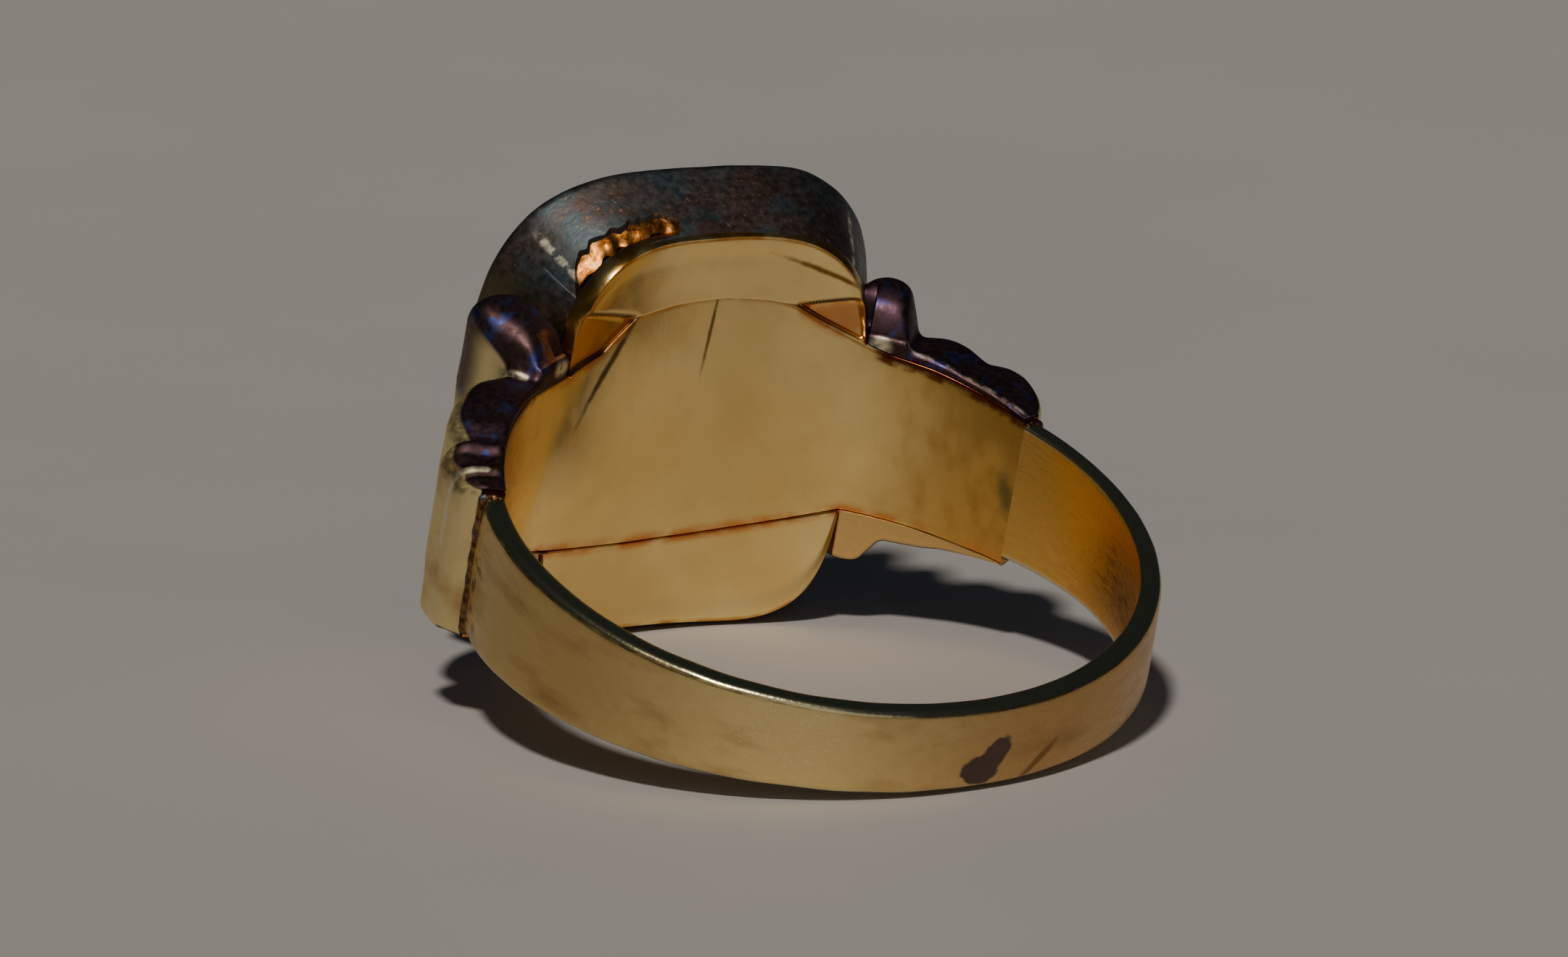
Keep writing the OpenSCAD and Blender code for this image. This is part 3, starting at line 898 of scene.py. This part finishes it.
def under_row(share):
    """A level row of the underside, from the ledge to near the middle as share goes up."""
    row = []
    for x, z in ledge_edge:
        kept = (1 - 2.2 / math.hypot(x, z)) * (1 - share)
        row.append((x * kept, PLATE_UNDER_Y, z * kept))
    return row


top_rows = [level_row(FACE_HEIGHT, inset, FACE_HEIGHT - 0.03 + DOME * ease((inset - 0.9) / 6.0))
            for inset in (6.8, 6.0, 5.0, 4.0, 3.0, 2.2, 1.6, 1.2, 1.0)]
top_rows += [level_row(FACE_HEIGHT, inset, FACE_HEIGHT - 0.03 - drop)
             for inset, drop in ((0.93, 0.02), (0.89, 0.07), (0.875, 0.3), (0.875, 0.68))]
ledge_rows = [level_row(PLATE_UNDER_Y, LEDGE_START, PLATE_UNDER_Y + 0.05)]
ledge_rows += [ledge_row(LEDGE_DROP * fall, share)
               for fall, share in ((0.0, 0.0), (0.7, 0.12), (1.0, 0.3), (1.0, 0.5), (1.0, 0.7),
                                   (1.0, 0.85), (0.9, 0.95), (0.6, 1.0), (0.2, 1.0))]
under_rows = [under_row(share) for share in (0.0, 0.3, 0.6, 0.9)]

# The ledge's tongue: it hangs from the ledge just behind the window, with a lumpy lower edge.
tongue = []
for j in [j for j in range(WALL_COUNT) if open_at[j]]:
    x, z = wall_point(j, 10.4, 0.0)
    teeth = abs((x * 1.7) % 1.0 - 0.5) * 0.22
    tip = 9.98 + 0.14 * (x + 3) + teeth + worn((x, 0, 0), 0.4, 0.3, 61)
    loop = []
    down = list(range(TONGUE_STEPS + 1))
    for inset, turn_in, run in ((TONGUE_DEPTH[0], 0.1, down), (TONGUE_DEPTH[1], -0.1, down[::-1])):
        for k in run:
            y = TONGUE_TOP_Y + (tip - TONGUE_TOP_Y) * k / TONGUE_STEPS
            lump = worn((x, y, inset), 0.42, 0.12, 63) + turn_in * (k == TONGUE_STEPS)
            at = wall_point(j, y, 0.0)
            inward = Vector((at[0], 0, at[1])).normalized() * (inset + lump)
            loop.append((at[0] - inward.x, y, at[1] - inward.z))
    tongue.append(loop)

points, places, under_marks, ledge_marks = [], [], [], []
for group, under_mark, ledge_mark in ((top_rows, 0.0, 0.0), (ledge_rows, 1.0, 1.0),
                                      (under_rows, 1.0, 0.0), (tongue, 1.0, 1.0)):
    for x, y, z in sum(group, []):
        points.append(on_head(x, y, z))
        places.append((x, y, z))
        under_marks.append(under_mark)
        ledge_marks.append(ledge_mark)
plate_rows = top_rows + ledge_rows + under_rows
faces = [tuple(reversed(f)) for f in skin(plate_rows)]
tongue_start = len(plate_rows) * PLATE_COUNT
faces += [tuple(tongue_start + v for v in f) for f in skin(tongue)]
add_piece("face_plate", points, faces, places, {"under": under_marks, "ledge": ledge_marks},
          face_gold)

# ---------------------------------------------------------------------------------------------
# FLOOR, LIGHT AND CAMERA. A plain pale board, one soft key light from high in front on the left,
# a weak wide light from the front, and a long lens from the finger side.
FLOOR_HALF = 1.5  # metres
floor_z = cad_box[0][2]
board = bpy.data.meshes.new("floor")
board.from_pydata([(-FLOOR_HALF, -FLOOR_HALF, floor_z), (FLOOR_HALF, -FLOOR_HALF, floor_z),
                   (FLOOR_HALF, FLOOR_HALF, floor_z), (-FLOOR_HALF, FLOOR_HALF, floor_z)],
                  [], [(0, 1, 2, 3)])

# Matt painted board: an even pale grey that shows the shadows and hardly reflects the ring.
pale_board = bpy.data.materials.new("matt pale board")
pale_board.use_nodes = True
tree = pale_board.node_tree
tree.nodes.clear()
where = add(tree, "ShaderNodeTexCoord", {}, {}).outputs["Object"]
mottle = add(tree, "ShaderNodeTexNoise", {}, {"Vector": where, "Scale": 60.0, "Detail": 4.0})
shade = add(tree, "ShaderNodeMix", {"data_type": "RGBA"},
            {0: mottle.outputs[0], 6: linear("#b5b3b5"), 7: linear("#bdbbbc")})
shader = add(tree, "ShaderNodeBsdfPrincipled", {},
             {"Base Color": shade.outputs[2], "Roughness": 0.6})
add(tree, "ShaderNodeOutputMaterial", {}, {"Surface": shader.outputs[0]})
board.materials.append(pale_board)
floor = bpy.data.objects.new("floor", board)
bpy.context.scene.collection.objects.link(floor)

key_way = Vector((-0.370, -0.420, 0.828)).normalized()
key_lamp = bpy.data.lights.new("key", "SUN")
key_lamp.energy = 2.05
key_lamp.angle = math.radians(6)
key_lamp.color = linear("#fff4e4")[:3]
key = bpy.data.objects.new("key", key_lamp)
key.rotation_euler = key_way.to_track_quat("Z", "Y").to_euler()
bpy.context.scene.collection.objects.link(key)

fill_place = Vector((-0.2, -0.8, 0.35))
fill_lamp = bpy.data.lights.new("front-fill", "AREA")
fill_lamp.shape = "DISK"
fill_lamp.size = 0.6
fill_lamp.energy = 0.35
fill_lamp.color = linear("#f2f4ff")[:3]
fill = bpy.data.objects.new("front-fill", fill_lamp)
fill.location = fill_place
fill.rotation_euler = (-fill_place).to_track_quat("-Z", "Y").to_euler()
bpy.context.scene.collection.objects.link(fill)

world = bpy.data.worlds.new("room")
bpy.context.scene.world = world
world.use_nodes = True
world.node_tree.nodes["Background"].inputs["Color"].default_value = linear("#aab4c4")
world.node_tree.nodes["Background"].inputs["Strength"].default_value = 0.045

camera_data = bpy.data.cameras.new("camera")
camera_data.sensor_width = 36.0
camera_data.lens = 255.9
camera_data.clip_start = 0.01
camera = bpy.data.objects.new("camera", camera_data)
view_from = Vector((-171.8, -286.0, 86.8)) * MM
right = Vector((0.860, -0.509, 0.0068))
back = (view_from - Vector((-0.33, 1.20, 3.05)) * MM).normalized()
right = (right - back * right.dot(back)).normalized()
up = back.cross(right)
facing = Matrix((right, up, back)).transposed().to_4x4()
camera.matrix_world = Matrix.Translation(view_from) @ facing
bpy.context.scene.collection.objects.link(camera)
bpy.context.scene.camera = camera
